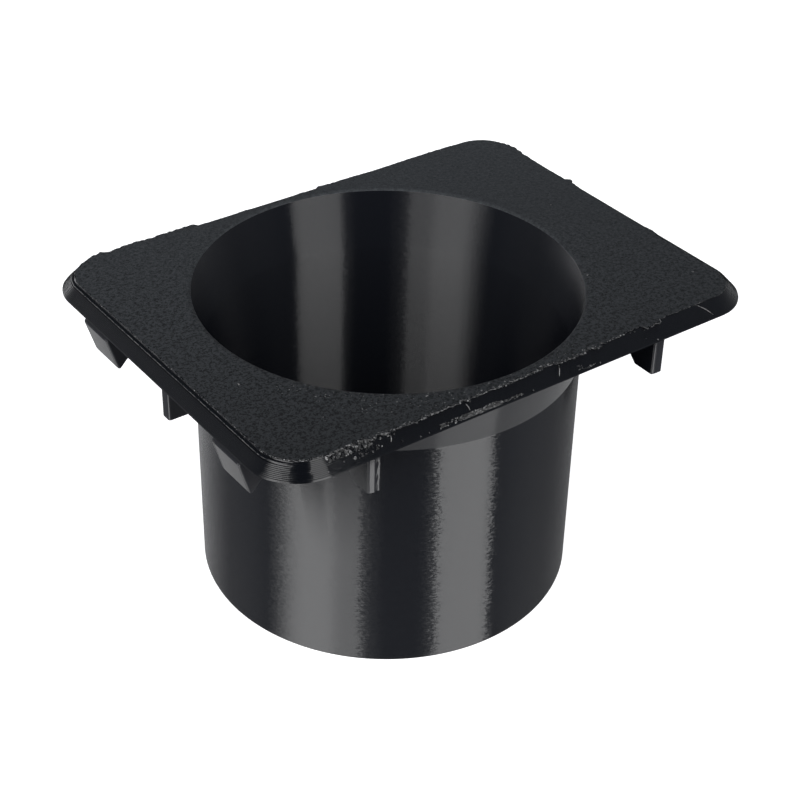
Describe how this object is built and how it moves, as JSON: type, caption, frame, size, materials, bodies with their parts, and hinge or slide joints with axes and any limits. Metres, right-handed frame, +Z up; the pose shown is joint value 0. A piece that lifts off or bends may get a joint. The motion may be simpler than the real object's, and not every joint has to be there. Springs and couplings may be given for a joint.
{
  "type": "car cup holder",
  "caption": "One-piece drop-in cup holder: bevelled rectangular cover plate with a round cup hung off its centre, and snap hooks and locating ribs beneath.",
  "frame": {"origin": "below the centre of the cover plate, level with the underside of the cup", "axes": "+X along the plate's long side, with the cup's axis 3 mm towards -X; +Y across the plate; +Z up, out of the cup's mouth"},
  "size_m": [0.105, 0.08, 0.06],
  "materials": {
    "printed_plastic": "black printed plastic: grainy matt top face, fine level layer lines with a satin gloss on every side"
  },
  "bodies": {
    "root": {"cup_holder": "printed_plastic"}
  },
  "joints": []
}
